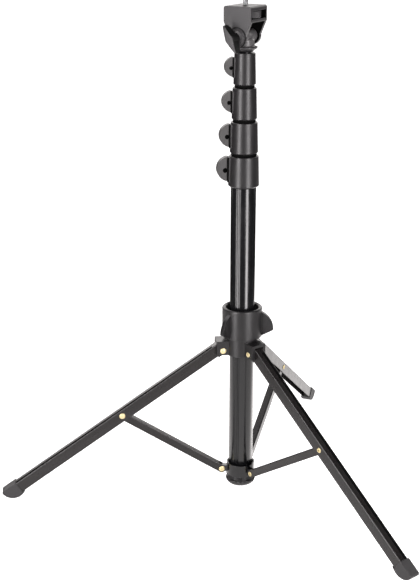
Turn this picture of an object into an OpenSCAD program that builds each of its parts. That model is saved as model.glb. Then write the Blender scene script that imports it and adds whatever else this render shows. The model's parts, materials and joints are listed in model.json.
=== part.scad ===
// Telescopic camera stand: a five-section column on three folding legs,
// with a panning and tilting head that ends in a camera screw.
// Millimetres, +Z up. The origin is on the column's axis, on the floor.
// Azimuths are measured from -Y towards +X.

/* [Legs] */
// Slope of each leg bar when the stand is open
leg_slope = 34.3; // [34:0.1:34.6]
// Slope of each strut when the stand is open
link_slope = 33; // [32.8:0.1:33.2]
// Length of a strut between its pivots, and of the leg above the knee
link_length = 148.5; // [148:0.5:149.5]
// Length of a leg bar from the hub pivot to the end of its foot
leg_length = 326.5; // [325:0.5:328]
// Distance of the hub and ring pivots from the column's axis
pivot_r = 24.5; // [24.5:0.1:25]
// Height of the strut pivots on the base ring
ring_pivot_z = 21.5; // [21:0.1:22]
// Width of a leg channel
leg_w = 12; // [11.8:0.1:12.2]
// Height of a leg channel
leg_h = 14; // [13.6:0.1:14.4]
// Sheet thickness of the leg and strut channels
sheet_t = 1; // [0.8:0.1:1]

/* [Column] */
// Outer diameter of the outermost tube
column_d = 30; // [30:0.1:30.2]
// How much smaller in diameter each next tube is
tube_step = 3.5; // [3.5:0.1:3.6]
// Wall thickness of the tubes
tube_wall = 1.2; // [1:0.1:1.2]
// Height of one lock collar
collar_h = 36.5; // [36:0.5:37]
// Gap between two collars when the column is pushed together
collar_gap = 3; // [2.5:0.1:3]
// Height of the lowest lock collar's bottom edge
collar_z = 386.5; // [384:0.5:390]

/* [Head] */
// Azimuth that the wing knob points to
head_azimuth = -67.1; // [-180:0.1:180]
// Width of the head across its two side plates
head_across = 40; // [40:0.5:42]
// Width of a side plate
plate_w = 34.4; // [34:0.2:36]
// Height of the tilt axis above the highest collar's top
tilt_rise = 18; // [17.6:0.1:18.4]
// Height of the head's top face above the tilt axis
head_rise = 34.5; // [34.2:0.1:35.2]
// Outer diameter of the camera screw
stud_d = 6.35; // [6:0.05:6.5]

/* [Hidden] */
$fn = 64;

// Materials as seen
black_metal = [0.10, 0.10, 0.11];
black_plastic = [0.16, 0.16, 0.17];
dark_rubber = [0.20, 0.20, 0.20];
brass = [0.85, 0.72, 0.40];
steel = [0.70, 0.70, 0.72];
white_plastic = [0.85, 0.85, 0.83];

// Clearances
run = 0.05;
gap = 0.3;
eps = 0.01;

// Leg linkage: strut and upper leg are equal, so the three pivots form an isosceles triangle
leg_azimuths = [0, 120, -120];
hub_pivot_z = ring_pivot_z + 2 * link_length * sin(link_slope);
knee_x = link_length * cos(leg_slope - link_slope);
leg_lift = link_length * sin(leg_slope - link_slope);
leg_ear_r = 5.4;
foot_l = 21;
foot_skin = 0.8;
bar_end_gap = 10;
sole_r = 16;
sole_flat = 0.3;
strut_w = leg_w - 2 * sheet_t - 0.8;
strut_h = 9.8;
pin_r = 2;
rivet_head_r = 3.8;

// Column
last_stage = 5;
collar_pitch = collar_h + collar_gap;
bush_rise = 14;
tube_grip = 12;
groove_d = 0.7;
groove_azimuths = [-60, 60, 180];
lever_azimuth = -120;
// Lever sizes before each lever is scaled down to suit its tube
lever_w = 8.4;
lever_pin_d = 4;
lever_r = 14.8;
lever_back = -2.7;
cheek_t = 1.3;
cam_r = 4.4;
cam_w = 2.7;
cam_sweep = 5.3;
// Lugs that carry the lever pin, inside the hollow lever
lug_y = 2.15;
lug_t = 1.2;
lug_r = 3.6;
// Boss behind the lever, with a pocket between two walls for the lever's lower end
boss_out = -3.1;
wall_out = -2.2;
pocket_y = 4.5;
boss_y = 5.6;
function tube_r(n) = (column_d - tube_step * (n - 1)) / 2;
function tube_inner_r(n) = tube_r(n) - tube_wall;
function collar_bottom(n) = collar_z + collar_pitch * (n - 1);
function collar_top(n) = collar_bottom(n) + collar_h;
function collar_bore(n) = tube_r(n + 1) + gap;
function lever_scale(n) = 1 - 0.075 * (n - 1);
function lever_pin_r(n) = tube_r(n) + 2.7 + 4.9 * lever_scale(n);
function lever_z(n) = collar_bottom(n) + collar_h / 2 + 1.6 * lever_scale(n);
function tube_bottom(n) = n == 1 ? ring_bottom : ring_bottom + 4 + bush_rise * (n - 2);

// Base ring and cap
ring_bottom = ring_pivot_z - 8.4;
ring_top = ring_pivot_z + 7.8;
ring_r = 17.6;
ring_wall = 1.6;
tab_r = 4;

// Leg hub and lock ring
hub_r = 20.5;
hub_bottom = hub_pivot_z - 6;
hub_shoulder = hub_pivot_z + 15.4;
hub_top = hub_shoulder + 30;
hub_bore = tube_r(1) + gap;
ear_bottom = hub_bottom + 0.6;
slot_start = hub_bore + 2.7;
ear_in = leg_w / 2 + 0.35;
ear_out = 10.2;
ear_reach = pivot_r + 8;
hood_under = hub_pivot_z + 9;
hood_top = hub_pivot_z + 12.4;
lock_ring_bottom = hub_shoulder + 0.4;
lock_ring_top = lock_ring_bottom + 38;
lock_ring_r = 24.3;
wing_r = 38.5;
wing_azimuths = [-79, 41, 161];

// Head
tilt_z = collar_top(4) + tilt_rise;
head_top = tilt_z + head_rise;
plate_out = head_across / 2;
plate_in = plate_out - 4.2;
box_in = plate_out - 2;
plate_end_r = 10.5;
barrel_r = 7;
box_floor = head_top - 17.6;
window_bottom = head_top - 14.2;
window_top = head_top - 5;
wheel_r = box_in - 0.4;
bolt_r = 3;
shank_r = stud_d / 2 - 0.2;
stud_bottom = window_bottom - 1.5;
stud_top = head_top + 6.5;

// Places children, drawn out along +X, at an azimuth about the column
module at_azimuth(azimuth) { rotate([0, 0, azimuth - 90]) children(); }

// Places children with +X running down a leg from the hub pivot, +Z its upper side
module along_leg(k) {
    at_azimuth(leg_azimuths[k - 1]) translate([pivot_r, 0, hub_pivot_z])
        rotate([0, leg_slope, 0]) children();
}

// Places children at a knee pivot, lined up with the leg
module at_knee(k) { along_leg(k) translate([knee_x, 0, leg_lift]) children(); }

// Places children with +X running up a strut from the ring pivot, +Z its upper side
module along_strut(k) {
    at_azimuth(leg_azimuths[k - 1]) translate([pivot_r, 0, ring_pivot_z])
        rotate([0, -link_slope, 0]) children();
}

// Round bar across the leg plane
module cross_bar(radius, length) {
    rotate([90, 0, 0]) cylinder(r = radius, h = length, center = true);
}

// Places children, drawn with +X along the tilt axis, in the head's plan direction
module in_head() { translate([0, 0, tilt_z]) at_azimuth(head_azimuth) children(); }

// Ring or tube standing on z
module ring(z, height, outer, inner) {
    translate([0, 0, z]) difference() {
        cylinder(r = outer, h = height);
        translate([0, 0, -1]) cylinder(r = inner, h = height + 2);
    }
}

// Tubular rivet across the leg plane: domed head on +Y, rolled eyelet on -Y
module rivet(half_grip) {
    difference() {
        union() {
            cross_bar(pin_r, 2 * half_grip + 1);
            intersection() {
                translate([0, half_grip - 5.2, 0]) sphere(r = 6.4);
                translate([0, half_grip + 1, 0]) cross_bar(rivet_head_r, 2);
            }
            translate([0, -half_grip - 0.5, 0]) cross_bar(rivet_head_r - 0.4, 1);
        }
        translate([0, -half_grip - 1, 0]) cross_bar(1.3, 8);
    }
}

// Channel section, open side down, with rounded upper edges
module channel_section(width, height, wall, edge_r) {
    difference() {
        union() {
            translate([-width / 2, -height / 2]) square([width, height - edge_r]);
            translate([-width / 2 + edge_r, -height / 2]) square([width - 2 * edge_r, height]);
            for (side = [-1, 1])
                translate([side * (width / 2 - edge_r), height / 2 - edge_r]) circle(r = edge_r);
        }
        translate([-width / 2 + wall, -height / 2 - 1]) square([width - 2 * wall, height + 1 - wall]);
    }
}

module channel_bar(length, width, height, wall, edge_r) {
    rotate([90, 0, 90]) linear_extrude(length) channel_section(width, height, wall, edge_r);
}

// ---- Legs, feet and struts ----

// The bar's centreline lies above the hub pivot and passes through the knee pivot
module leg(k) {
    bar_start = 1;
    color(black_metal) along_leg(k) difference() {
        union() {
            translate([bar_start, 0, leg_lift])
                channel_bar(leg_length - bar_end_gap - bar_start, leg_w, leg_h, sheet_t, 1.5);
            for (side = [-1, 1]) translate([0, side * (leg_w - sheet_t) / 2, 0]) {
                cross_bar(leg_ear_r, sheet_t);
                translate([0, -sheet_t / 2, -leg_ear_r]) cube([leg_ear_r + 4, sheet_t, 2 * leg_ear_r]);
            }
        }
        cross_bar(pin_r + run, leg_w + 2);
        translate([knee_x, 0, leg_lift]) cross_bar(pin_r, leg_w + 2);
    }
}

// Foot cap outline seen from the side: a box whose sole and end are one arc that rests on the floor
module foot_side() {
    half = leg_h / 2 + foot_skin;
    arc_x = leg_length - sole_r;
    arc_z = (sole_r - sole_flat - hub_pivot_z + arc_x * sin(leg_slope)) / cos(leg_slope);
    start_x = leg_length - foot_l;
    intersection() {
        translate([start_x, leg_lift - half]) square([foot_l, 2 * half]);
        union() {
            translate([arc_x, arc_z]) circle(r = sole_r, $fn = 96);
            translate([start_x, leg_lift - half]) square([arc_x - start_x, 2 * half]);
            translate([start_x, arc_z]) square([foot_l, sole_r]);
        }
    }
}

module foot(k) {
    wide = leg_w + 2 * foot_skin;
    color(dark_rubber) difference() {
        along_leg(k) rotate([90, 0, 0]) linear_extrude(wide, center = true) foot_side();
        along_leg(k) translate([leg_length - foot_l - 1, 0, leg_lift])
            rotate([90, 0, 90]) linear_extrude(foot_l + 1 - bar_end_gap)
                channel_section(leg_w, leg_h, sheet_t, 1.5);
        translate([0, 0, -50]) cylinder(r = 400, h = 50);
    }
}

// Channel between two flat ears; the web stops short of each pivot
module strut(k) {
    ear = strut_h / 2;
    strut_inset = 6.5;
    color(black_metal) along_strut(k) difference() {
        union() {
            intersection() {
                channel_bar(link_length, strut_w, strut_h, sheet_t, 1.2);
                translate([strut_inset, -strut_w, -strut_h])
                    cube([link_length - strut_inset - 4.8, 2 * strut_w, 2 * strut_h]);
            }
            for (side = [-1, 1]) translate([0, side * (strut_w - sheet_t) / 2, 0]) {
                cross_bar(ear, sheet_t);
                translate([link_length, 0, 0]) cross_bar(ear, sheet_t);
                translate([0, -sheet_t / 2, -ear]) cube([7, sheet_t, 2 * ear]);
                translate([link_length - 5, -sheet_t / 2, -ear]) cube([5, sheet_t, 2 * ear]);
            }
        }
        cross_bar(pin_r + run, strut_w + 2);
        translate([link_length, 0, 0]) cross_bar(pin_r + run, strut_w + 2);
    }
}

module ring_rivet(k) { color(brass) along_strut(k) rivet(strut_w / 2 + 0.1); }

module knee_rivet(k) { color(brass) at_knee(k) rivet(leg_w / 2); }

module hub_rivet(k) { color(brass) along_leg(k) rivet(ear_out); }

// ---- Column base ----

// Flat grooves down a tube's outside
module grooves(n, z, height) {
    for (azimuth = groove_azimuths) at_azimuth(azimuth)
        translate([tube_r(n) - groove_d, -0.2 * tube_r(n), z]) cube([5, 0.4 * tube_r(n), height]);
}

module tube(n, bottom, top) {
    difference() {
        ring(bottom, top - bottom, tube_r(n), tube_inner_r(n));
        grooves(n, bottom - 1, top - bottom + 2);
    }
}

module column_tube() { color(black_metal) tube(1, tube_bottom(1), collar_bottom(1) + tube_grip); }

// Ring round the bottom of the column, with a tab for each strut
module base_ring() {
    color(black_metal) difference() {
        union() {
            ring(ring_bottom, ring_top - ring_bottom, ring_r, ring_r - ring_wall);
            for (azimuth = leg_azimuths) at_azimuth(azimuth) {
                translate([ring_r - 1, -strut_w / 2 + sheet_t + 0.2, ring_pivot_z - tab_r])
                    cube([pivot_r - ring_r + 1, strut_w - 2 * sheet_t - 0.4, 2 * tab_r]);
                translate([pivot_r, 0, ring_pivot_z]) cross_bar(tab_r, strut_w - 2 * sheet_t - 0.4);
            }
        }
        for (azimuth = leg_azimuths) at_azimuth(azimuth)
            translate([pivot_r, 0, ring_pivot_z]) cross_bar(pin_r, strut_w);
    }
}

// End cap below the ring: a round-bottomed bowl with six finger recesses
module base_cap() {
    floor_gap = 0.5;
    rim_r = ring_r + 1;
    rim_z = 8;
    edge_r = rim_z - floor_gap;
    color(black_plastic) difference() {
        union() {
            ring(ring_bottom - 1, ring_top - 1 - ring_bottom, ring_r - ring_wall, tube_r(1));
            translate([0, 0, floor_gap]) cylinder(r = rim_r - edge_r, h = ring_bottom - floor_gap);
            translate([0, 0, rim_z]) cylinder(r1 = rim_r, r2 = ring_r + 0.2, h = ring_bottom - rim_z);
            rotate_extrude() intersection() {
                translate([rim_r - edge_r, rim_z]) circle(r = edge_r, $fn = 96);
                square([rim_r, rim_z + 0.1]);
            }
        }
        for (turn = [0:60:300]) rotate([0, 0, turn]) translate([rim_r + 4.6, 0, -1]) cylinder(r = 6, h = 8);
        translate([0, 0, floor_gap - 1]) cylinder(r = 5, h = 3);
    }
}

// ---- Leg hub ----

// Hub that slides on the column: three forked ears under a sleeve for the lock ring
module leg_hub() {
    color(black_plastic) difference() {
        union() {
            translate([0, 0, hub_bottom]) cylinder(r = hub_r, h = hub_shoulder - hub_bottom);
            translate([0, 0, hub_shoulder - 1]) cylinder(r = hub_r - 0.6, h = hub_top - hub_shoulder + 1);
            for (azimuth = leg_azimuths) at_azimuth(azimuth)
                translate([8, -ear_out, ear_bottom])
                    cube([ear_reach - 8, 2 * ear_out, hood_top - ear_bottom]);
        }
        for (azimuth = leg_azimuths) at_azimuth(azimuth) {
            translate([slot_start, -ear_in, hub_bottom - 1])
                cube([20, 2 * ear_in, hood_under - hub_bottom + 1]);
            translate([pivot_r, 0, hub_pivot_z]) cross_bar(pin_r, 2 * ear_out + 2);
        }
        translate([0, 0, hub_bottom - 1]) cylinder(r = hub_bore, h = 80);
        translate([0, 0, hub_top - 16]) cylinder(r = hub_bore + 3, h = 20);
    }
}

// Split collet that the lock ring squeezes onto the column
module hub_collet() {
    color(white_plastic) difference() {
        ring(hub_top - 16, 15, hub_bore + 2.9, hub_bore - 0.2);
        translate([0, -0.75, hub_top - 17]) cube([40, 1.5, 20]);
    }
}

// Finger wing of the lock ring: a round shoulder above, a slanted edge below
module wing() {
    peak = 10;
    arc_r = 25;
    rotate([90, 0, 0]) linear_extrude(4.8, center = true) intersection() {
        translate([wing_r - arc_r, peak]) circle(r = arc_r, $fn = 96);
        polygon([
            [lock_ring_r - 3, 1.5], [lock_ring_r - 1, 1.5], [wing_r, peak],
            [wing_r, peak + arc_r], [lock_ring_r - 3, peak + arc_r]
        ]);
    }
}

// Ring that turns on the hub's sleeve
module lock_ring() {
    rise = lock_ring_top - lock_ring_bottom;
    color(black_plastic) difference() {
        union() {
            translate([0, 0, lock_ring_bottom]) cylinder(r = lock_ring_r - 0.8, h = rise - 1);
            translate([0, 0, lock_ring_bottom + 1]) cylinder(r = lock_ring_r, h = rise - 3);
            translate([0, 0, lock_ring_top - 2])
                rotate_extrude() translate([lock_ring_r - 2, 0]) circle(r = 2);
            for (azimuth = wing_azimuths) at_azimuth(azimuth) translate([0, 0, lock_ring_bottom]) wing();
        }
        translate([0, 0, lock_ring_bottom - 1])
            cylinder(r = hub_r - 0.3, h = hub_top - lock_ring_bottom + 1.5);
        translate([0, 0, hub_top])
            cylinder(r1 = hub_r - 2, r2 = lock_ring_r - 4, h = lock_ring_top - hub_top + eps);
        translate([0, 0, lock_ring_top - eps]) cylinder(r = lock_ring_r - 4, h = 5);
    }
}

// ---- Lock collars, levers, pins and pads ----

// Places children, drawn with +X outwards and the lever pin at the origin
module at_lever(n) {
    translate([0, 0, lever_z(n)]) at_azimuth(lever_azimuth) translate([lever_pin_r(n), 0, 0]) children();
}

// Tapered collar fixed on the top of a tube; the next tube slides through its bore
module lock_collar(n) {
    s = lever_scale(n);
    low_r = tube_r(n) + 3.2;
    top_r = tube_r(n) + 2.3;
    bottom = collar_bottom(n);
    skirt = n == 1 ? 0 : collar_gap - 0.4;
    depth = pocket_depth(n);
    color(black_plastic) difference() {
        union() {
            rotate_extrude() polygon([
                [0, bottom - skirt], [low_r - 1.4, bottom - skirt], [low_r - 1.4, bottom],
                [low_r, bottom + 1.3], [top_r, collar_top(n) - 0.6], [top_r - 0.6, collar_top(n)],
                [0, collar_top(n)]
            ]);
            at_lever(n) scale(s) {
                translate([-9, 0.2 - boss_y, -14.2]) cube([9 + boss_out, 2 * boss_y - 0.4, 29.4]);
                for (side = [-1, 1])
                    translate([-8, side * (boss_y + pocket_y) / 2 - (boss_y - pocket_y) / 2, -13.8])
                        cube([8 + wall_out, boss_y - pocket_y, 28.6]);
                for (side = [-1, 1]) translate([0, side * lug_y, 0]) {
                    cross_bar(lug_r, lug_t);
                    translate([-8, -lug_t / 2, -3]) cube([8, lug_t, 6]);
                }
            }
        }
        translate([0, 0, bottom - skirt - 1]) cylinder(r = tube_r(n), h = tube_grip + skirt + 1);
        translate([0, 0, bottom]) cylinder(r = collar_bore(n), h = collar_h + 1);
        at_lever(n) {
            cross_bar(lever_pin_d / 2 * s, 12 * s);
            pad_window(n);
            cross_bar(cam_sweep * s, (cam_w + 0.2) * s);
            for (side = [-1, 1]) translate([-depth, (side * 3.65 - 0.85) * s, -13.4 * s])
                cube([depth + 2, 1.7 * s, 14 * s]);
            translate([-depth, -pocket_y * s, -13.4 * s]) cube([depth + 2, 2 * pocket_y * s, 9.8 * s]);
        }
    }
}

// Depth of the pocket that the lever's lower end swings into, measured inwards from the pin
function pocket_depth(n) = lever_pin_r(n) - collar_bore(n) - 1.2;

// Way through the collar wall for the brake pad
module pad_window(n) {
    s = lever_scale(n);
    translate([-20, -1.4 * s, -3.2 * s]) cube([20 - 3.8 * s, 2.8 * s, 6.4 * s]);
}

// Pad that the lever's cam presses against the inner tube
module brake_pad(n) {
    s = lever_scale(n);
    color(white_plastic) difference() {
        at_lever(n) translate([-14, -1.3 * s, -3 * s]) cube([14 - 5.6 * s, 2.6 * s, 6 * s]);
        translate([0, 0, lever_z(n) - 10]) cylinder(r = tube_r(n + 1) + 0.1, h = 20);
    }
}

module lever_pin(n) {
    color(black_metal) at_lever(n) scale(lever_scale(n)) cross_bar(lever_pin_d / 2, lever_w - 1.6);
}

// Half-disc outline of a lever, +X outwards, inset by a wall
module lever_outline(wall) {
    intersection() {
        translate([lever_back, -20]) square([20, 40]);
        translate([-5.1, 1.7]) circle(r = lever_r - wall, $fn = 96);
    }
}

// Hollow lever with a cam inside it that presses on the brake pad
module lock_lever(n) {
    inner_w = lever_w - 2 * cheek_t;
    color(black_plastic) at_lever(n) scale(lever_scale(n)) difference() {
        union() {
            difference() {
                rotate([90, 0, 0]) linear_extrude(lever_w, center = true) lever_outline(0);
                rotate([90, 0, 0]) linear_extrude(inner_w, center = true) lever_outline(1.6);
                translate([lever_back - cheek_t, -inner_w / 2, -11]) cube([1.4, inner_w, 25.7]);
            }
            rotate([90, 0, 0]) linear_extrude(cam_w, center = true) intersection() {
                lever_outline(0.5);
                union() {
                    translate([-0.6, 0]) circle(r = cam_r);
                    translate([0, -2.5]) square([12, 5]);
                }
            }
            translate([-0.6, 0, 0]) cross_bar(cam_r, cam_w);
        }
        cross_bar(lever_pin_d / 2 + run, 20);
        for (side = [-1, 1]) translate([0, side * (lever_w / 2 + 0.3), 0]) cross_bar(2.9, 2);
        rotate([90, 0, 0]) linear_extrude(20, center = true)
            polygon([[-5, -9], [-2.6, -9], [-1.2, -13.4], [-5, -13.4]]);
    }
}

// ---- Telescopic stages ----

module stage_tube(n) {
    top = n == last_stage ? collar_top(4) + 1.2 : collar_bottom(n) + tube_grip;
    color(black_metal) tube(n, tube_bottom(n), top);
}

// Guide at the foot of a tube that runs in the tube around it
module stage_bush(n) {
    bottom = tube_bottom(n);
    color(white_plastic) {
        ring(bottom - 3, 3, tube_inner_r(n - 1) - run, tube_inner_r(n) - 2);
        ring(bottom - eps, bush_rise - 4, tube_inner_r(n), tube_inner_r(n) - 2);
    }
}

// Plug in the top of the last tube
module neck_plug() {
    color(black_plastic) difference() {
        union() {
            translate([0, 0, collar_top(4) - 12]) cylinder(r = tube_inner_r(last_stage), h = 13.2);
            translate([0, 0, collar_top(4) + 1.2]) cylinder(r1 = 9.4, r2 = 11.5, h = 2.6);
        }
        translate([0, 0, collar_top(4) - 13]) cylinder(r = 2, h = 20);
    }
}

// ---- Head ----

module pan_screw() {
    color(steel) {
        translate([0, 0, collar_top(4) - 10]) cylinder(r = 2, h = 18);
        translate([0, 0, collar_top(4) + 6.1]) cylinder(r = 3.6, h = 1.9);
    }
}

// Round flange and neck under a barrel that lies between the head's plates
module tilt_yoke() {
    low = collar_top(4) + 4;
    color(black_plastic) difference() {
        union() {
            rotate_extrude() polygon([
                [0, low], [12.8, low], [14.4, low + 1.8], [14.4, low + 3], [8.6, low + 3.6],
                [8.2, tilt_z - 6.6], [5.8, tilt_z - 3.6], [0, tilt_z - 3.6]
            ]);
            in_head() rotate([0, 90, 0]) cylinder(r = barrel_r, h = 2 * plate_in - 0.6, center = true);
        }
        in_head() rotate([0, 90, 0]) cylinder(r = bolt_r + run, h = 60, center = true);
        translate([0, 0, low - 1]) cylinder(r = 2 + run, h = 4);
        translate([0, 0, low + 2]) cylinder(r = 3.8, h = 2.2);
    }
}

// Upper part of the head seen along the tilt axis, with +Y up from the axis
module head_outline() {
    knee = head_rise - 17;
    edge = plate_w / 2;
    polygon([
        [-edge, head_rise - 1.5], [-edge + 1.5, head_rise], [edge - 1.5, head_rise], [edge, head_rise - 1.5],
        [edge, knee], [plate_end_r * 0.93, 0], [-plate_end_r * 0.93, 0], [-edge, knee]
    ]);
}

// Two side plates under a hollow box that holds the thumb wheel
module head_bracket() {
    low = box_floor - tilt_z;
    color(black_plastic) in_head() difference() {
        union() {
            rotate([90, 0, 90]) linear_extrude(head_across, center = true) head_outline();
            rotate([0, 90, 0]) cylinder(r = plate_end_r, h = head_across, center = true);
        }
        translate([-plate_in, -30, -30]) cube([2 * plate_in, 60, 30 + low]);
        translate([-box_in, -30, window_bottom - tilt_z]) cube([2 * box_in, 60, window_top - window_bottom]);
        rotate([0, 90, 0]) cylinder(r = bolt_r + run, h = 60, center = true);
        translate([0, 0, low - 1]) cylinder(r = stud_d / 2 + 0.15, h = 20);
        rotate([0, -90, 0]) translate([0, 0, plate_out - 2.5]) cylinder(r = 5.9, h = 4, $fn = 6);
    }
}

module tilt_nut() {
    color(steel) in_head() rotate([0, -90, 0]) translate([0, 0, plate_out - 2.5]) difference() {
        cylinder(r = 5.8, h = 3.4, $fn = 6);
        translate([0, 0, -1]) cylinder(r = bolt_r, h = 6);
    }
}

module tilt_bolt() {
    color(steel) in_head() rotate([0, 90, 0]) translate([0, 0, -plate_out - 1.5])
        cylinder(r = bolt_r, h = 2 * plate_out + 13);
}

// Wing knob: a disc against the side plate and a two-winged bar
module tilt_knob() {
    lean = 28;
    arm = 17;
    reach = 19.5;
    disc_r = 10.4;
    color(black_plastic) in_head() rotate([lean, 0, 0]) difference() {
        union() {
            translate([plate_out + 0.4, 0, 0]) rotate([0, 90, 0]) cylinder(r = disc_r, h = 1.6);
            translate([plate_out + 1.9, 0, 0]) rotate([0, 90, 0])
                cylinder(r1 = disc_r - 0.2, r2 = 6, h = 3.4);
            translate([plate_out + 5, 0, 0]) rotate([0, 90, 0]) cylinder(r = 5.6, h = reach - 6.5);
            intersection() {
                translate([plate_out + 4.6, 0, 0]) rotate([0, 90, 0]) linear_extrude(reach - 4.6) polygon([
                    [-arm, -1.6], [0, -4.4], [arm, -1.6], [arm, 1.6], [0, 4.4], [-arm, 1.6]
                ]);
                rotate([90, 0, 0]) linear_extrude(20, center = true) polygon([
                    [plate_out + 4, -6], [plate_out + 7, 4 - arm], [plate_out + 10, -arm],
                    [plate_out + reach - 3, -arm], [plate_out + reach + 0.1, 4 - arm],
                    [plate_out + reach + 0.1, arm - 4], [plate_out + reach - 3, arm],
                    [plate_out + 10, arm], [plate_out + 7, arm - 4], [plate_out + 4, 6]
                ]);
            }
        }
        translate([plate_out - 1, 0, 0]) rotate([0, 90, 0]) cylinder(r = bolt_r + run, h = 13.1);
    }
}

// Knurled wheel fixed to the camera screw
module thumb_wheel() {
    teeth = 60;
    color(black_plastic) translate([0, 0, window_bottom + 0.6]) difference() {
        cylinder(r = wheel_r, h = window_top - window_bottom - 1.2, $fn = 120);
        for (k = [0:teeth - 1]) rotate([0, 0, k * 360 / teeth])
            translate([wheel_r + 0.2, 0, 0.8])
                cylinder(r = 0.6, h = window_top - window_bottom - 2.8, $fn = 6);
        translate([0, 0, -1]) cylinder(r = shank_r, h = 20);
    }
}

module camera_stud() {
    color(steel) {
        translate([0, 0, stud_bottom]) cylinder(r = shank_r, h = head_top - stud_bottom + eps);
        translate([0, 0, head_top]) cylinder(r = stud_d / 2, h = stud_top - 0.7 - head_top);
        translate([0, 0, stud_top - 0.7]) cylinder(r1 = stud_d / 2, r2 = stud_d / 2 - 0.7, h = 0.7);
    }
}

module strut_1() { strut(1); }
module strut_2() { strut(2); }
module strut_3() { strut(3); }
module ring_rivet_1() { ring_rivet(1); }
module ring_rivet_2() { ring_rivet(2); }
module ring_rivet_3() { ring_rivet(3); }
module leg_1() { leg(1); }
module leg_2() { leg(2); }
module leg_3() { leg(3); }
module foot_1() { foot(1); }
module foot_2() { foot(2); }
module foot_3() { foot(3); }
module knee_rivet_1() { knee_rivet(1); }
module knee_rivet_2() { knee_rivet(2); }
module knee_rivet_3() { knee_rivet(3); }
module hub_rivet_1() { hub_rivet(1); }
module hub_rivet_2() { hub_rivet(2); }
module hub_rivet_3() { hub_rivet(3); }
module lock_collar_1() { lock_collar(1); }
module lock_collar_2() { lock_collar(2); }
module lock_collar_3() { lock_collar(3); }
module lock_collar_4() { lock_collar(4); }
module lever_pin_1() { lever_pin(1); }
module lever_pin_2() { lever_pin(2); }
module lever_pin_3() { lever_pin(3); }
module lever_pin_4() { lever_pin(4); }
module brake_pad_1() { brake_pad(1); }
module brake_pad_2() { brake_pad(2); }
module brake_pad_3() { brake_pad(3); }
module brake_pad_4() { brake_pad(4); }
module lock_lever_1() { lock_lever(1); }
module lock_lever_2() { lock_lever(2); }
module lock_lever_3() { lock_lever(3); }
module lock_lever_4() { lock_lever(4); }
module stage_2_tube() { stage_tube(2); }
module stage_3_tube() { stage_tube(3); }
module stage_4_tube() { stage_tube(4); }
module stage_5_tube() { stage_tube(5); }
module stage_2_bush() { stage_bush(2); }
module stage_3_bush() { stage_bush(3); }
module stage_4_bush() { stage_bush(4); }
module stage_5_bush() { stage_bush(5); }

column_tube();
base_ring();
base_cap();
strut_1();
strut_2();
strut_3();
ring_rivet_1();
ring_rivet_2();
ring_rivet_3();
leg_1();
leg_2();
leg_3();
foot_1();
foot_2();
foot_3();
knee_rivet_1();
knee_rivet_2();
knee_rivet_3();
leg_hub();
hub_collet();
hub_rivet_1();
hub_rivet_2();
hub_rivet_3();
lock_ring();
lock_collar_1();
lever_pin_1();
brake_pad_1();
lock_lever_1();
stage_2_tube();
stage_2_bush();
lock_collar_2();
lever_pin_2();
brake_pad_2();
lock_lever_2();
stage_3_tube();
stage_3_bush();
lock_collar_3();
lever_pin_3();
brake_pad_3();
lock_lever_3();
stage_4_tube();
stage_4_bush();
lock_collar_4();
lever_pin_4();
brake_pad_4();
lock_lever_4();
stage_5_tube();
stage_5_bush();
neck_plug();
pan_screw();
tilt_yoke();
head_bracket();
tilt_nut();
tilt_bolt();
tilt_knob();
thumb_wheel();
camera_stud();
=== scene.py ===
import json
import math

import bmesh
import bpy
from mathutils import Matrix, Vector


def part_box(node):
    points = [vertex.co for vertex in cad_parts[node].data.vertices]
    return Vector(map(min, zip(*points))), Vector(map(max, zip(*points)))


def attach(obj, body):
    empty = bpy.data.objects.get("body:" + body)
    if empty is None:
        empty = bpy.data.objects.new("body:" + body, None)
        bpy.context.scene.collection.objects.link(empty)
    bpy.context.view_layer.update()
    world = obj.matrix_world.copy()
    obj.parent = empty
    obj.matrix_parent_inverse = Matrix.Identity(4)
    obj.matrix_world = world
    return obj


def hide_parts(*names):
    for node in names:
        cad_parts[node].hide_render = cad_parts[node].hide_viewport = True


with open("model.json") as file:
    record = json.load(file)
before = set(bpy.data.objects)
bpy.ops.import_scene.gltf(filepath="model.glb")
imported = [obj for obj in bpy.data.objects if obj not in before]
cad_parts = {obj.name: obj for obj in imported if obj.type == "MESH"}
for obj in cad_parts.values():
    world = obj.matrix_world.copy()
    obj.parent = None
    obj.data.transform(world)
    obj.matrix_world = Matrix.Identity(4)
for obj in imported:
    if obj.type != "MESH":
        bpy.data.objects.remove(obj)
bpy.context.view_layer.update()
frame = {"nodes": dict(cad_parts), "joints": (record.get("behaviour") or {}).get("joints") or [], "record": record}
nodes = frame["nodes"]
joints = {j["name"]: j for j in frame["joints"]}
BODY_OF = {node: body for body, held in frame["record"]["behaviour"]["bodies"].items() for node in held}
SLOT_OF = {p["node"]: p["material_slot"] for p in frame["record"]["subparts"]}
MM = 0.001
TAU = 2 * math.pi
UP = Vector((0, 0, 1))

# Camera: place, direction and lens of the photograph's view, in the part's frame
CAMERA_DISTANCE = 1.37004
CAMERA_HEIGHT = 0.70858
CAMERA_PITCH = 18.31
CAMERA_YAW = -1.64
CAMERA_ROLL = 0.11
CAMERA_AZIMUTH = -39.69
CAMERA_LENS = 73.54
SENSOR = 36.0


def direction(azimuth):
    """Unit vector at an azimuth counted from -Y towards +X."""
    a = math.radians(azimuth)
    return Vector((math.sin(a), -math.cos(a), 0))


# ---- Materials ----

def ramp(nt, value, low, high, out_low, out_high):
    """A smooth step between two values of a node's output."""
    node = nt.nodes.new("ShaderNodeMapRange")
    node.interpolation_type = "SMOOTHSTEP"
    for name, number in (("From Min", low), ("From Max", high), ("To Min", out_low), ("To Max", out_high)):
        node.inputs[name].default_value = number
    nt.links.new(value, node.inputs["Value"])
    return node.outputs["Result"]


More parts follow.
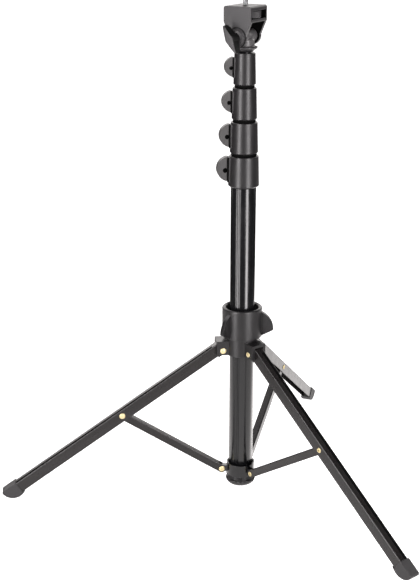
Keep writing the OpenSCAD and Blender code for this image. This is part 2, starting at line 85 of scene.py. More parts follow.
def maths(nt, operation, a, b):
    """A math node on two outputs or numbers."""
    node = nt.nodes.new("ShaderNodeMath")
    node.operation = operation
    for socket, v in ((node.inputs[0], a), (node.inputs[1], b)):
        if isinstance(v, (int, float)):
            socket.default_value = v
        else:
            nt.links.new(v, socket)
    return node.outputs["Value"]


def material(name, base, roughness, **options):
    """A principled material with grain in its bump, its roughness and its colour."""
    grain = options.get("grain", 900.0)
    bump = options.get("bump", 0.15)
    depth = options.get("depth", 0.00003)
    spread = options.get("spread", 0.04)
    stretch = options.get("stretch", (1, 1, 1))
    wear = options.get("wear", 0.12)
    m = bpy.data.materials.new(name)
    m.use_nodes = True
    nt = m.node_tree
    add = nt.nodes.new
    link = nt.links.new
    shader = nt.nodes["Principled BSDF"]
    shader.inputs["Metallic"].default_value = options.get("metallic", 0.0)
    shader.inputs["Specular IOR Level"].default_value = options.get("specular", 0.5)
    shader.inputs["Coat Weight"].default_value = options.get("coat", 0.0)
    shader.inputs["Coat Roughness"].default_value = options.get("coat_roughness", 0.2)

    place = add("ShaderNodeTexCoord")
    mapping = add("ShaderNodeMapping")
    mapping.inputs["Scale"].default_value = stretch
    link(place.outputs["Object"], mapping.inputs["Vector"])

    fine = add("ShaderNodeTexNoise")
    fine.inputs["Scale"].default_value = grain
    fine.inputs["Detail"].default_value = 4.0
    fine.inputs["Roughness"].default_value = 0.6
    link(mapping.outputs["Vector"], fine.inputs["Vector"])
    broad = add("ShaderNodeTexNoise")
    broad.inputs["Scale"].default_value = 45.0
    broad.inputs["Detail"].default_value = 3.0
    link(place.outputs["Object"], broad.inputs["Vector"])

    rough = add("ShaderNodeMapRange")
    rough.inputs["From Min"].default_value = 0.3
    rough.inputs["From Max"].default_value = 0.7
    rough.inputs["To Min"].default_value = max(roughness - spread, 0.02)
    rough.inputs["To Max"].default_value = min(roughness + spread, 1.0)
    link(broad.outputs["Fac"], rough.inputs["Value"])
    link(rough.outputs["Result"], shader.inputs["Roughness"])

    edges = add("ShaderNodeNewGeometry")
    edge_mask = add("ShaderNodeValToRGB")
    edge_mask.color_ramp.elements[0].position = 0.53
    edge_mask.color_ramp.elements[1].position = 0.62
    link(edges.outputs["Pointiness"], edge_mask.inputs["Fac"])
    scuff = add("ShaderNodeMath")
    scuff.operation = "MULTIPLY"
    link(edge_mask.outputs["Color"], scuff.inputs[0])
    link(fine.outputs["Fac"], scuff.inputs[1])
    amount = add("ShaderNodeMath")
    amount.operation = "MULTIPLY"
    amount.inputs[1].default_value = wear
    link(scuff.outputs["Value"], amount.inputs[0])

    tone = add("ShaderNodeMix")
    tone.data_type = "RGBA"
    low = [c * (1 - options.get("mottle", 0.08)) for c in base]
    high = [min(c * (1 + options.get("mottle", 0.08)), 1) for c in base]
    tone.inputs["A"].default_value = (*low, 1)
    tone.inputs["B"].default_value = (*high, 1)
    link(broad.outputs["Fac"], tone.inputs["Factor"])
    worn = add("ShaderNodeMix")
    worn.data_type = "RGBA"
    worn.inputs["B"].default_value = (*options.get("worn", [min(c * 3 + 0.05, 1) for c in base]), 1)
    link(amount.outputs["Value"], worn.inputs["Factor"])
    link(tone.outputs["Result"], worn.inputs["A"])
    link(worn.outputs["Result"], shader.inputs["Base Color"])

    bumps = add("ShaderNodeBump")
    bumps.inputs["Strength"].default_value = bump
    bumps.inputs["Distance"].default_value = depth
    link(fine.outputs["Fac"], bumps.inputs["Height"])
    link(bumps.outputs["Normal"], shader.inputs["Normal"])
    return m


# One finish for each material slot
MATERIALS = {
    "leg_metal": material("leg_coat", (0.008, 0.007, 0.007), 0.28, grain=2600, bump=0.20),
    "tube_metal": material("tube_coat", (0.003, 0.003, 0.0035), 0.20, grain=1800, bump=0.10,
                           stretch=(1, 1, 0.05), specular=0.6),
    "pin_metal": material("pin_oxide", (0.002, 0.002, 0.002), 0.5, grain=1500, specular=0.2),
    "black_plastic": material("moulded_black", (0.007, 0.0065, 0.007), 0.37, grain=3000, bump=0.20),
    "head_plastic": material("moulded_head", (0.021, 0.020, 0.021), 0.42, grain=2600, bump=0.45,
                             specular=0.36),
    "foot_rubber": material("foot_rubber", (0.022, 0.021, 0.022), 0.55, grain=1600, bump=0.5),
    "rivet_brass": material("rivet_brass", (0.66, 0.56, 0.32), 0.45, metallic=0.65, grain=900, bump=0.2,
                            worn=(0.50, 0.40, 0.20), mottle=0.08),
    "inner_plastic": material("inner_nylon", (0.75, 0.75, 0.72), 0.4, grain=1200),
    "bolt_steel": material("bolt_steel", (0.45, 0.45, 0.46), 0.30, metallic=1.0, grain=1200),
    "stud_metal": material("stud_plate", (0.42, 0.425, 0.43), 0.28, metallic=1.0, grain=1500),
}

# Finishes for single pieces: a greyer moulding; a paler one, painted light for lit faces; and painted shade, black
# without reflection, for the shadow in a seam and round a recessed pin
GREY = material("moulded_grey", (0.024, 0.023, 0.023), 0.40, grain=2600, bump=0.45)
PAINTED_SHADE = material("seam_gap", (0.0006, 0.0006, 0.0006), 0.9, grain=1500, specular=0.0)
PAINTED_LIT = material("moulded_pale", (0.060, 0.058, 0.059), 0.36, grain=2600, bump=0.35)


def dress(node, width):
    """Gives a CAD node its material, and rounds its edges as moulding and pressing leave them."""
    obj = nodes[node]
    obj.data.materials.clear()
    obj.data.materials.append(GREY if node.startswith("lock_lever") else MATERIALS[SLOT_OF[node]])
    obj.data.polygons.foreach_set("use_smooth", [True] * len(obj.data.polygons))
    weld = obj.modifiers.new("weld", "WELD")
    weld.merge_threshold = 0.002 * MM
    flat = obj.modifiers.new("flat", "DECIMATE")
    flat.decimate_type = "DISSOLVE"
    flat.angle_limit = math.radians(0.8)
    bevel = obj.modifiers.new("bevel", "BEVEL")
    bevel.width = width
    bevel.segments = 3
    bevel.limit_method = "ANGLE"
    bevel.angle_limit = math.radians(32)
    bevel.use_clamp_overlap = True
    bevel.harden_normals = True
    normals = obj.modifiers.new("normals", "WEIGHTED_NORMAL")
    normals.keep_sharp = False
    normals.weight = 60


EDGE = 0.4 * MM
EDGES = {"head_bracket": 0.8 * MM} | {f"lock_collar_{n}": 0.2 * MM for n in range(1, 5)}
for node in nodes:
    dress(node, EDGES.get(node, EDGE))


# ---- Hollows that stay in shadow ----

LEVER_AZIMUTH = -120
SKIRT = 2.65 * MM        # height of the neck under an upper collar
PLATE_IN = 15.8 * MM     # the head's middle to the inside of a side plate
BOX_IN = 18.0 * MM       # the head's middle to the side of the window
BOX_FLOOR = 17.6 * MM    # these three are depths below the head's top
WINDOW_LOW = 14.2 * MM
WINDOW_HIGH = 5.0 * MM
SLACK = 0.03 * MM
SHADOW = (0.003, 0.003, 0.003, 1)


def reach_along(nt, x, y, way):
    """How far a point lies along a level direction."""
    return maths(nt, "ADD", maths(nt, "MULTIPLY", x, way.x), maths(nt, "MULTIPLY", y, way.y))


def shade(node, slot, hollow):
    """Gives a CAD node its slot's finish, near black where hollow(nt, x, y, z) is 1, as deep shadow looks."""
    m = MATERIALS[slot].copy()
    m.name = f"{m.name}_{node}"
    nt = m.node_tree
    shader = nt.nodes["Principled BSDF"]
    place = nt.nodes.new("ShaderNodeTexCoord")
    split = nt.nodes.new("ShaderNodeSeparateXYZ")
    nt.links.new(place.outputs["Object"], split.inputs["Vector"])
    lit = maths(nt, "SUBTRACT", 1.0, hollow(nt, *(split.outputs[k] for k in "XYZ")))
    mix = nt.nodes.new("ShaderNodeMix")
    mix.data_type = "RGBA"
    mix.inputs["A"].default_value = SHADOW
    nt.links.new(lit, mix.inputs["Factor"])
    nt.links.new(shader.inputs["Base Color"].links[0].from_socket, mix.inputs["B"])
    nt.links.new(mix.outputs["Result"], shader.inputs["Base Color"])
    specular = shader.inputs["Specular IOR Level"]
    nt.links.new(maths(nt, "MULTIPLY", lit, specular.default_value), specular)
    nodes[node].data.materials[0] = m


def shade_collar(n):
    """The pocket behind a collar's lever, and the neck below the collar."""
    node = f"lock_collar_{n}"
    low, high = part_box(node)

    def hollow(nt, x, y, z):
        reach = reach_along(nt, x, y, direction(LEVER_AZIMUTH))
        pocket = maths(nt, "GREATER_THAN", reach, high.x + 0.1 * MM)
        neck = maths(nt, "LESS_THAN", z, low.z + SKIRT) if n > 1 else 0.0
        return maths(nt, "MAXIMUM", pocket, neck)

    shade(node, "black_plastic", hollow)


def shade_head():
    """The gap between the head's side plates, and the window round the thumb wheel."""
    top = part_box("head_bracket")[1].z
    axis = Vector(joints["head_tilt"]["axis"]).normalized()

    def hollow(nt, x, y, z):
        reach = maths(nt, "ABSOLUTE", reach_along(nt, x, y, axis), 0.0)
        gap = maths(nt, "MULTIPLY", maths(nt, "LESS_THAN", reach, PLATE_IN + SLACK),
                    maths(nt, "LESS_THAN", z, top - BOX_FLOOR + SLACK))
        level = maths(nt, "MULTIPLY", maths(nt, "GREATER_THAN", z, top - WINDOW_LOW - SLACK),
                      maths(nt, "LESS_THAN", z, top - WINDOW_HIGH + SLACK))
        window = maths(nt, "MULTIPLY", maths(nt, "LESS_THAN", reach, BOX_IN + SLACK), level)
        return maths(nt, "MAXIMUM", gap, window)

    shade("head_bracket", "head_plastic", hollow)


for n in range(1, 5):
    shade_collar(n)
shade_head()


# ---- Pieces built in mesh code ----

def new_piece(name, verts, faces, slot, body, replaced=(), smooth=True, finish=None):
    """Links a mesh as a piece of a CAD body, in its material slot's finish or in one of its own."""
    mesh = bpy.data.meshes.new(name)
    mesh.from_pydata([tuple(v) for v in verts], [], faces)
    bm = bmesh.new()
    bm.from_mesh(mesh)
    bmesh.ops.remove_doubles(bm, verts=bm.verts, dist=0.001 * MM)
    bmesh.ops.recalc_face_normals(bm, faces=bm.faces)
    bm.to_mesh(mesh)
    bm.free()
    mesh.polygons.foreach_set("use_smooth", [smooth] * len(mesh.polygons))
    obj = bpy.data.objects.new(name, mesh)
    mesh.materials.append(finish or MATERIALS[slot])
    bpy.context.scene.collection.objects.link(obj)
    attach(obj, body)
    if replaced:
        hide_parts(*replaced)
    return obj


def frame_at(origin, x_axis, z_axis):
    """Matrix from a local frame, with its X and Z axes given, to the part's frame."""
    x = Vector(x_axis).normalized()
    z = Vector(z_axis).normalized()
    y = z.cross(x)
    m = Matrix((x, y, z)).transposed().to_4x4()
    return Matrix.Translation(Vector(origin)) @ m


def lathe(profile, steps, shape=None):
    """Rings of points for (radius, height) pairs; shape(radius, height, angle) may move the radius."""
    verts, faces = [], []
    for r, z in profile:
        for k in range(steps):
            a = TAU * k / steps
            rr = shape(r, z, a) if shape else r
            verts.append(Vector((rr * math.cos(a), rr * math.sin(a), z)))
    for i in range(len(profile) - 1):
        for k in range(steps):
            n = (k + 1) % steps
            faces.append((i * steps + k, i * steps + n, (i + 1) * steps + n, (i + 1) * steps + k))
    return verts, faces


def arc(cx, cy, radius, start, end, steps):
    """Points round an arc, angles in degrees."""
    return [
        (cx + radius * math.cos(math.radians(start + (end - start) * k / steps)),
         cy + radius * math.sin(math.radians(start + (end - start) * k / steps)))
        for k in range(steps + 1)
    ]


def scaled(points, base):
    """Points of a profile given in millimetres, with their heights counted from a base."""
    return [(r * MM, base + h * MM) for r, h in points]


def prism(outline, half_width):
    """Faces of an outline in the XZ plane, drawn out both ways along Y."""
    n = len(outline)
    verts = [Vector((p[0], s * half_width, p[1])) for s in (-1, 1) for p in outline]
    faces = [tuple(range(n)), tuple(range(2 * n - 1, n - 1, -1))]
    faces += [(k, n + k, n + (k + 1) % n, (k + 1) % n) for k in range(n)]
    return verts, faces


def soften(obj, width, segments=4, angle=30):
    """Rounds a piece's edges."""
    bevel = obj.modifiers.new("bevel", "BEVEL")
    bevel.width = width
    bevel.segments = segments
    bevel.limit_method = "ANGLE"
    bevel.angle_limit = math.radians(angle)
    bevel.harden_normals = True
    normals = obj.modifiers.new("normals", "WEIGHTED_NORMAL")
    normals.weight = 60
    return obj


LEG_AZIMUTHS = {1: 0, 2: 120, 3: -120}
LEG_SLOPE = math.radians(34.3)


def leg_axes(k, azimuth):
    """A leg's pivot in the hub, the direction down the leg, its top's normal, and its side."""
    out = direction(azimuth)
    pivot = Vector(joints[f"strut_{k}_fold"]["pos_m"])
    pivot.z = joints["hub_level"]["pos_m"][2]
    down = out * math.cos(LEG_SLOPE) - UP * math.sin(LEG_SLOPE)
    normal = out * math.sin(LEG_SLOPE) + UP * math.cos(LEG_SLOPE)
    return pivot, down, normal, UP.cross(out)


# Rivets: a flanged dome on one side, a rolled eyelet on the other
def rivet(centre, axis, half_length, radius):
    shank = 0.5 * radius
    head = half_length - 1.55 * MM
    tail = -half_length + 1.0 * MM
    flange = 0.35 * MM
    dome_r = 0.86 * radius
    dome_h = half_length - head - flange
    roll = 0.95 * MM
    ring_r = 2.15 * MM
    profile = [(0.0, head + flange + dome_h)]
    profile += [(dome_r * math.sin(t), head + flange + dome_h * math.cos(t))
                for t in (math.radians(9 * k) for k in range(1, 11))]
    profile += [(radius - 0.1 * MM, head + flange), (radius, head + flange - 0.1 * MM), (radius, head),
                (shank, head), (shank, tail)]
    profile += [(r, z) for r, z in arc(ring_r, tail, roll, 0, -180, 10)]
    profile += [(ring_r - roll, head - 2 * MM), (0.0, head - 2 * MM)]
    m = frame_at(centre, UP, axis)
    verts, faces = lathe(profile, 40)
    return [m @ v for v in verts], faces


for k, azimuth in LEG_AZIMUTHS.items():
    cross = Vector((math.cos(math.radians(azimuth)), math.sin(math.radians(azimuth)), 0))
    knee = Vector(joints[f"leg_{k}_knee"]["pos_m"])
    ring_pivot = Vector(joints[f"strut_{k}_fold"]["pos_m"])
    hub_pivot = leg_axes(k, azimuth)[0]
    rivets = (("hub", hub_pivot, "hub"), ("knee", knee, f"leg_{k}"), ("ring", ring_pivot, "column"))
    for kind, centre, body in rivets:
        low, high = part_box(f"{kind}_rivet_1")
        half_length = (high.x - low.x) / 2
        radius = (high.z - low.z) / 2
        middle = (high.x + low.x) / 2
        verts, faces = rivet(centre + cross * middle, cross, half_length, radius)
        new_piece(f"{kind}_rivet_head_{k}", verts, faces, "rivet_brass", body, [f"{kind}_rivet_{k}"])


# Tubes, with a pair of rounded flutes at each of three places
FLUTE_AZIMUTHS = (-62, 58, 178)


def spoke(r, a, z):
    """A point at a radius, an angle and a height."""
    return Vector((r * math.cos(a), r * math.sin(a), z))


def fluted_tube(name, node, body):
    low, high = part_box(node)
    radius = (high.x - low.x) / 2
    size = radius / (15 * MM)
    depth, half, rib, dip = 0.95 * MM, 3.0 * MM * size, 0.45 * MM * size, 0.12 * MM
    bore = radius - 1.8 * MM
    angles = []
    for azimuth in FLUTE_AZIMUTHS:
        middle = math.radians(azimuth - 90)
        reach = half / radius * 1.04
        angles += [middle - reach + 2 * reach * k / 72 for k in range(73)]
        rest = TAU / 3 - 2 * reach
        angles += [middle + reach + rest * k / 32 for k in range(1, 32)]

    def outer(a):
        turns = (math.remainder(a - math.radians(azimuth - 90), TAU) for azimuth in FLUTE_AZIMUTHS)
        u = min(abs(turn) for turn in turns) * radius
        if u >= half:
            return radius
        if u <= rib:
            return radius - dip
        p = (u - rib) / (half - rib)
        return radius - dip * (1 - p) - depth * (1 - abs(2 * p - 1) ** 3)

    count, verts, faces = len(angles), [], []
    edge = 0.25 * MM
    for inset, z in ((edge, low.z), (0, low.z + edge), (0, high.z - edge), (edge, high.z)):
        verts += [spoke(outer(a) - inset, a, z) for a in angles]
    for z in (high.z, low.z):
        verts += [spoke(bore, a, z) for a in angles]
    for i in range(6):
        for k in range(count):
            n, j = (k + 1) % count, (i + 1) % 6
            faces.append((i * count + k, i * count + n, j * count + n, j * count + k))
    new_piece(name, verts, faces, "tube_metal", body, [node])


fluted_tube("fluted_tube_1", "column_tube", "column")
for stage in range(2, 6):
    fluted_tube(f"fluted_tube_{stage}", f"stage_{stage}_tube", f"stage_{stage}")


# Camera screw with its thread
def camera_screw():
    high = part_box("camera_stud")[1]
    radius = high.x
    top = high.z
    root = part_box("head_bracket")[1].z - 2 * MM
    pitch, depth, chamfer = 1.27 * MM, 0.62 * MM, 0.8 * MM

    def thread(r, z, a):
        phase = (z / pitch - a / TAU) % 1.0
        ridge = min(abs(phase - 0.5) * 2 * 1.25, 1.0)
        fade = min(max((top - chamfer * 0.4 - z) / pitch, 0.0), 1.0)
        return r - depth * ridge * fade if r > 0.7 * radius else r

    count = int((top - chamfer - root) / (pitch / 14))
    threaded = top - chamfer - root
    profile = [(0.0, root)] + [(radius, root + threaded * k / count) for k in range(count + 1)]
    profile += [(radius - chamfer * 0.75, top), (radius * 0.35, top), (0.0, top - 0.3 * MM)]
    verts, faces = lathe(profile, 64, thread)
    new_piece("camera_screw", verts, faces, "stud_metal", "thumb_wheel", ["camera_stud"])


camera_screw()


# Knurled wheel under the camera screw
def knurled_wheel():
    low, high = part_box("thumb_wheel")
    radius, teeth, depth, edge = high.x, 60, 0.45 * MM, 0.7 * MM
    bore = 0.9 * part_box("camera_stud")[1].x
    z0, z1 = low.z, high.z

    def knurl(r, z, a):
        if r < radius - edge * 1.2:
            return r
        inside = min((z - z0) / edge, (z1 - z) / edge, 1.0)
        return r - depth * (0.5 + 0.5 * math.cos(teeth * a)) ** 2 * max(inside, 0.0)

    profile = [(bore, z0), (radius - edge, z0), (radius, z0 + edge)]
    profile += [(radius, z0 + edge + (z1 - z0 - 2 * edge) * k / 4) for k in range(1, 4)]
    profile += [(radius, z1 - edge), (radius - edge, z1), (bore, z1), (bore, z0)]
    verts, faces = lathe(profile, teeth * 8, knurl)
    new_piece("knurled_wheel", verts, faces, "head_plastic", "thumb_wheel", ["thumb_wheel"])


knurled_wheel()


# Scalloped end cap: six arched lobes under a recessed band
def end_cap():
    low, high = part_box("base_cap")
    rim = high.x
    ring_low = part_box("base_ring")[0].z
    floor_gap, rim_z = low.z, 8 * MM
    edge = rim_z - floor_gap
    pockets, recess = 6, 2.3 * MM
    rib = math.radians(CAMERA_AZIMUTH - 90)

    def scallop(r, z, a):
        if r < 0.6 * rim or z > ring_low - 0.3 * MM:
            return r
        u = ((a - rib) * pockets / TAU) % 1.0 * 2 - 1
        wall = min(max((1 - abs(u)) / 0.22, 0.0), 1.0)
        arch = floor_gap + (0.62 - 0.30 * u * u) * (ring_low - floor_gap)
        step = min(max((z - arch) / (0.9 * MM), 0.0), 1.0)
        pinch = 0.5 * MM * max(0.0, 1 - abs(1 - abs(u)) / 0.12) * (1 - step)
        return r - recess * wall * step * step * (3 - 2 * step) - pinch

    profile = [(0.0, floor_gap + 0.8 * MM), (4.4 * MM, floor_gap + 0.8 * MM), (4.9 * MM, floor_gap)]
    profile += [p for p in arc(rim - edge, rim_z, edge, -90, 0, 18)]
    steps = 16
    for k in range(1, steps + 1):
        profile.append((rim - 0.5 * MM * k / steps, rim_z + (ring_low - rim_z) * k / steps))
    profile += [(rim - 3 * MM, ring_low), (0.0, ring_low)]
    verts, faces = lathe(profile, 288, scallop)
    new_piece("end_cap", verts, faces, "black_plastic", "column", ["base_cap"])


end_cap()


# Rubber caps on the feet
FOOT_LENGTH = 21 * MM
FOOT_HEIGHT = 15.6 * MM
SOLE_R = 16 * MM
TOE_CHAMFER = 1.6 * MM


def foot_cap(k, azimuth):
    pivot, down, normal, side = leg_axes(k, azimuth)
    corners = [v.co - pivot for v in nodes[f"foot_{k}"].data.vertices]
    far = max(c.dot(down) for c in corners)
    top = max(c.dot(normal) for c in corners)
    bottom = top - FOOT_HEIGHT
    half = max(abs(c.dot(side)) for c in corners)
    arc_x = far - SOLE_R
    arc_z = (SOLE_R - pivot.z + arc_x * math.sin(LEG_SLOPE)) / math.cos(LEG_SLOPE)
    reach = math.degrees(math.asin(max(-1.0, (bottom - arc_z) / SOLE_R)))
    start = far - FOOT_LENGTH
    outline = [(start, bottom), (start, top), (far - TOE_CHAMFER, top), (far, top - TOE_CHAMFER)]
    outline += arc(arc_x, arc_z, SOLE_R, 0, -180 - reach, 26)
    m = frame_at(pivot, down, normal)
    verts, faces = prism(outline, half)
    cap = new_piece(f"foot_cap_{k}", [m @ v for v in verts], faces, "foot_rubber", f"leg_{k}",
                    [f"foot_{k}"])
    soften(cap, 1.3 * MM, 5, 40)


for k, azimuth in LEG_AZIMUTHS.items():
    foot_cap(k, azimuth)


# Painted shade along the top of each leg: a thin black sheet without reflection, for the shadow in the seam where
# the folded steel meets
def leg_seam_shade(k, azimuth):
    pivot, down, normal, side = leg_axes(k, azimuth)
    corners = [v.co - pivot for v in nodes[f"leg_{k}"].data.vertices]
    top = max(c.dot(normal) for c in corners)
    half = max(c.dot(side) for c in corners)
    start = min(c.dot(down) for c in corners) + 14 * MM
    end = max(c.dot(down) for c in corners) - 6 * MM
    near, far = 0.80 * half, 0.15 * half
    outline = ((start, far), (end, far), (end, near), (start, near))
    corners = [(x, y, z) for z in (top - 0.1 * MM, top + 0.04 * MM) for x, y in outline]
    m = frame_at(pivot, down, normal)
    faces = [(0, 1, 2, 3), (4, 5, 6, 7), (0, 1, 5, 4), (1, 2, 6, 5), (2, 3, 7, 6), (3, 0, 4, 7)]
    new_piece(f"leg_seam_{k}", [m @ Vector(c) for c in corners], faces, "pin_metal", f"leg_{k}",
              smooth=False, finish=PAINTED_SHADE)


for k, azimuth in LEG_AZIMUTHS.items():
    leg_seam_shade(k, azimuth)


# Wing knob: a disc against the head's plate, and a dark winged bar with a paler outer face
def wing_section(near, far, t, thick, around=40):
    """Rounded cross-section of the bar at a distance t along a wing, 0 at the middle and 1 at its tip."""
    square, tip = 0.4, 0.8
    end = (1 - t ** 9) ** square
    half_x = (far - near) / 2 * end
    half_y = (tip + (thick - tip) * (1 - t)) * MM * end
    points = []
    for k in range(around):
        c, q = math.cos(TAU * k / around), math.sin(TAU * k / around)
        x = math.copysign(abs(c) ** square, c) * half_x
        y = math.copysign(abs(q) ** square, q) * half_y
        points.append(((near + far) / 2 + x, y))
    return points


def wing_bar(name, m, near_at, far_at, thick, arm, slot):
    """A two-winged bar; near_at(t) and far_at(t) are its ends along the knob's axis."""
    stations, around = 61, 40
    verts, faces = [], []
    for i in range(stations):
        s = math.sin(math.pi / 2 * (2 * i / (stations - 1) - 1) * 0.995)
        t = abs(s)
        verts += [m @ Vector((x, y, s * arm)) for x, y in wing_section(near_at(t), far_at(t), t, thick)]
    for i in range(stations - 1):
        for k in range(around):
            n = (k + 1) % around
            faces.append((i * around + k, i * around + n, (i + 1) * around + n, (i + 1) * around + k))
    faces.append(tuple(range(around - 1, -1, -1)))
    faces.append(tuple(range((stations - 1) * around, stations * around)))
    return new_piece(name, verts, faces, slot, "tilt_knob")


def wing_knob():
    axis = Vector(joints["knob_turn"]["axis"]).normalized()
    centre = Vector(joints["knob_turn"]["pos_m"])
    corners = [v.co - centre for v in nodes["tilt_knob"].data.vertices]
    inner = min(c.dot(axis) for c in corners)
    outer = max(c.dot(axis) for c in corners)
    arm = max((c - axis * c.dot(axis)).length for c in corners) - 0.05 * MM
    lean = math.radians(28)
    side = UP.cross(axis)
    wing = UP * math.cos(lean) - side * math.sin(lean)
    across = side * math.cos(lean) + UP * math.sin(lean)
    m = Matrix.Translation(centre) @ Matrix((axis, across, wing)).transposed().to_4x4()

    face_depth, belly = 1.3 * MM, 0.8 * MM
    wing_bar("knob_wings", m, lambda t: inner + (4.4 + 2.6 * t ** 4) * MM,
             lambda t: outer - face_depth + 0.3 * MM - belly * t * t, 5.0, arm, "pin_metal")
    wing_bar("knob_face", m, lambda t: outer - face_depth - belly * t * t,
             lambda t: outer - 0.05 * MM - belly * t * t, 4.7, arm * 0.985, "head_plastic")

    r = 10.4 * MM
    profile = [(0.0, inner), (r - 0.3 * MM, inner), (r, inner + 0.3 * MM), (r, inner + 1.2 * MM)]
    profile += arc(r - 0.5 * MM, inner + 1.2 * MM, 0.5 * MM, 0, 70, 4)[1:]
    profile += arc(r - 2.4 * MM, inner + 1.75 * MM, 1.5 * MM, -10, 80, 6)
    profile += [(6.4 * MM, inner + 4.2 * MM), (0.0, inner + 4.4 * MM)]
    boss_frame = frame_at(centre, UP, axis)
    verts, faces = lathe(profile, 72)
    new_piece("knob_disc", [boss_frame @ v for v in verts], faces, "head_plastic", "tilt_knob",
              ["tilt_knob"])
    boss = scaled(((0, 3.9), (6.3, 3.9), (5.6, 5.2)), inner)
    boss += scaled(((5.5, -2.4), (5.1, -1.8), (0, -1.8)), outer)
    verts, faces = lathe(boss, 72)
    new_piece("knob_boss", [boss_frame @ v for v in verts], faces, "pin_metal", "tilt_knob")
    # Painted shade: a thin black ring behind the disc and a little wider than it, for the shadow in the gap
    # between disc and plate
    gap_shade = scaled(((3.2, -0.34), (11.7, -0.34), (11.8, -0.18), (11.7, -0.03), (3.2, -0.03), (3.2, -0.34)),
                    inner)
    verts, faces = lathe(gap_shade, 72)
    new_piece("knob_washer", [boss_frame @ v for v in verts], faces, "pin_metal", "tilt_knob")


wing_knob()


# Yoke: a flanged neck that runs into the barrel between the head's plates
def yoke():
    axis = Vector(joints["head_tilt"]["axis"]).normalized()
    centre = Vector(joints["head_tilt"]["pos_m"])
    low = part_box("tilt_yoke")[0].z
    top = centre.z
    flange = scaled(((2.05, 2.5), (2.05, 0), (12.6, 0), (12.9, 0.1), (14.2, 1.5), (14.4, 1.9), (14.4, 2.7),
                     (14.1, 3.0), (2.05, 3.3), (2.05, 2.5)), low)
    verts, faces = lathe(flange, 72)
    new_piece("yoke_flange", verts, faces, "head_plastic", "yoke", ["tilt_yoke"])
    # Painted light: the neck and the barrel below take a paler finish than the flange, for the light that falls on
    # them between the plates
    neck = [(2.05 * MM, low + 3.1 * MM)] + arc(12.4 * MM, low + 4.6 * MM, 1.5 * MM, -90, -180, 5)
    neck += arc(6.4 * MM, top - 5.4 * MM, 4.5 * MM, 0, 90, 8) + [(0.0, top - 0.9 * MM)]
    verts, faces = lathe(neck, 72)
    new_piece("yoke_neck", verts, faces, "head_plastic", "yoke", finish=PAINTED_LIT)
    half, radius, bore = 15.5 * MM, 7.8 * MM, 3.1 * MM
    edge = 0.5 * MM
    barrel = [(bore, -half), (radius - edge, -half), (radius, -half + edge), (radius, half - edge),
              (radius - edge, half), (bore, half), (bore, -half)]
    m = frame_at(centre, UP, axis)
    verts, faces = lathe(barrel, 72)
    new_piece("yoke_barrel", [m @ v for v in verts], faces, "head_plastic", "yoke", finish=PAINTED_LIT)


yoke()


# Lever pins with flat heads that sit in the levers' sides, black without any reflection: a dark pin with painted
# shade for its recess
def lever_pin(n):
    flip = joints[f"lever_{n}_flip"]
    low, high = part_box(f"lever_pin_{n}")
    axis = Vector(flip["axis"]).normalized()
    radius = (high.z - low.z) / 2
    half = max(abs((v.co - Vector(flip["pos_m"])).dot(axis)) for v in nodes[f"lever_pin_{n}"].data.vertices)
    head_r, head_h = 1.42 * radius, 0.17 * half
    profile = [(0.0, -half - head_h), (head_r * 0.86, -half - head_h), (head_r, -half - head_h * 0.5),
               (head_r, -half - 0.05 * MM), (radius, -half - 0.05 * MM)]
    profile += [(r, -z) for r, z in reversed(profile)]
    m = frame_at(flip["pos_m"], UP, axis)
    verts, faces = lathe(profile, 40)
    node = f"lever_pin_{n}"
    new_piece(f"lever_pin_head_{n}", [m @ v for v in verts], faces, "pin_metal", BODY_OF[node],
              [node], finish=PAINTED_SHADE)


for n in range(1, 5):
    lever_pin(n)


# ---- Floor, light and camera ----

# White floor that glows evenly, so that it stays plain under the stand
FLOOR_SIZE = 14
FLOOR_GLOW = 1.0


def floor():
    mesh = bpy.data.meshes.new("floor")
    q = FLOOR_SIZE
    mesh.from_pydata([(-q, -q, 0), (q, -q, 0), (q, q, 0), (-q, q, 0)], [], [(0, 1, 2, 3)])
    obj = bpy.data.objects.new("floor", mesh)
    m = bpy.data.materials.new("floor_white")
    m.use_nodes = True
    shader = m.node_tree.nodes["Principled BSDF"]
    shader.inputs["Base Color"].default_value = (0.8, 0.8, 0.8, 1)
    shader.inputs["Roughness"].default_value = 0.9
    shader.inputs["Specular IOR Level"].default_value = 0.0
    shader.inputs["Emission Color"].default_value = (1, 1, 1, 1)
    shader.inputs["Emission Strength"].default_value = FLOOR_GLOW
    mesh.materials.append(m)
    obj.visible_glossy = False
    bpy.context.scene.collection.objects.link(obj)


floor()

# What the glossy parts mirror, as brightness: a low wall behind, white floor below, dark room between them
WALL_DIM = 0.03
WALL_BEHIND = 3.2
FLOOR_NEAR = 1.2
FLOOR_BEHIND = 1.4


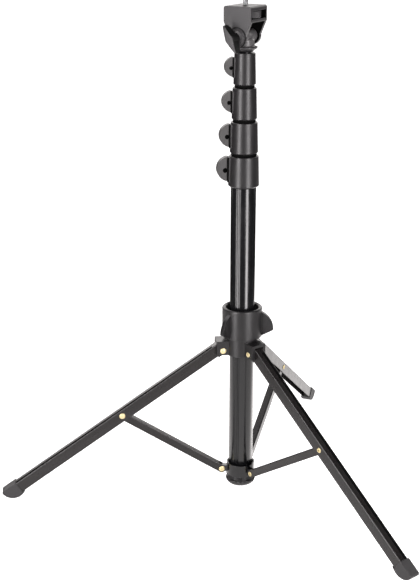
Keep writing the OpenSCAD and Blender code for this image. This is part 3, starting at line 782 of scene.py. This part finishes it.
def studio():
    world = bpy.data.worlds.new("studio")
    world.use_nodes = True
    nt = world.node_tree
    background = nt.nodes["Background"]
    background.inputs["Color"].default_value = (1.0, 0.965, 0.955, 1)
    place = nt.nodes.new("ShaderNodeTexCoord")
    turn = nt.nodes.new("ShaderNodeVectorRotate")
    turn.rotation_type = "Z_AXIS"
    turn.inputs["Angle"].default_value = math.radians(-CAMERA_AZIMUTH)
    nt.links.new(place.outputs["Generated"], turn.inputs["Vector"])
    split = nt.nodes.new("ShaderNodeSeparateXYZ")
    nt.links.new(turn.outputs["Vector"], split.inputs["Vector"])
    x, y, z = (split.outputs[k] for k in "XYZ")

    def patch(strength, *ramps):
        value = strength
        for output, low, high in ramps:
            value = maths(nt, "MULTIPLY", ramp(nt, output, low, high, 0, 1), value)
        return value

    wall = patch(WALL_BEHIND, (y, 0.35, 0.70), (z, 0.08, 0.22), (z, 0.62, 0.42))
    behind = patch(FLOOR_BEHIND, (y, 0.35, 0.60), (x, -0.1, 0.3), (z, -0.22, -0.32))
    near = patch(FLOOR_NEAR, (z, -0.28, -0.37))
    mirror = maths(nt, "ADD", maths(nt, "ADD", wall, behind), maths(nt, "ADD", near, WALL_DIM))
    seen = nt.nodes.new("ShaderNodeLightPath")
    backdrop = maths(nt, "MULTIPLY", seen.outputs["Is Camera Ray"], 1.08)
    strength = maths(nt, "MAXIMUM", mirror, backdrop)
    nt.links.new(strength, background.inputs["Strength"])
    bpy.context.scene.world = world


studio()


def softbox(name, azimuth, distance, height, width, tall, power, aim):
    """A rectangular soft light standing round the stand, turned towards a point."""
    light = bpy.data.lights.new(name, "AREA")
    light.shape = "RECTANGLE"
    light.size = width
    light.size_y = tall
    light.energy = power
    light.color = (1.0, 0.965, 0.975)
    obj = bpy.data.objects.new(name, light)
    obj.location = direction(azimuth) * distance + Vector((0, 0, height))
    obj.rotation_euler = (Vector(aim) - obj.location).to_track_quat("-Z", "Y").to_euler()
    obj.visible_camera = False
    bpy.context.scene.collection.objects.link(obj)


# Each strip shows as one soft upright highlight on the column
softbox("strip_right", CAMERA_AZIMUTH + 37, 1.15, 0.69, 0.40, 1.62, 24, (0, 0, 0.69))
softbox("strip_left", CAMERA_AZIMUTH - 40, 1.15, 0.69, 0.36, 1.62, 24, (0, 0, 0.69))
softbox("top_left", CAMERA_AZIMUTH - 120, 1.2, 2.0, 1.0, 1.0, 10, (0, 0, 0.3))

bpy.context.scene.view_settings.view_transform = "Standard"

pitch, yaw, roll = (math.radians(v) for v in (CAMERA_PITCH, CAMERA_YAW, CAMERA_ROLL))
forward = Vector((math.sin(yaw) * math.cos(pitch), math.cos(yaw) * math.cos(pitch), -math.sin(pitch)))
right = Vector((math.cos(yaw), -math.sin(yaw), 0))
up = right.cross(forward)
right, up = (math.cos(roll) * right + math.sin(roll) * up, math.cos(roll) * up - math.sin(roll) * right)
turn = Matrix.Rotation(math.radians(CAMERA_AZIMUTH), 3, "Z")
axes = Matrix((turn @ right, turn @ up, turn @ -forward)).transposed()
data = bpy.data.cameras.new("camera")
data.lens = CAMERA_LENS
data.sensor_width = SENSOR
camera = bpy.data.objects.new("camera", data)
place = turn @ Vector((0, -CAMERA_DISTANCE, CAMERA_HEIGHT))
camera.matrix_world = Matrix.Translation(place) @ axes.to_4x4()
bpy.context.scene.collection.objects.link(camera)
bpy.context.scene.camera = camera
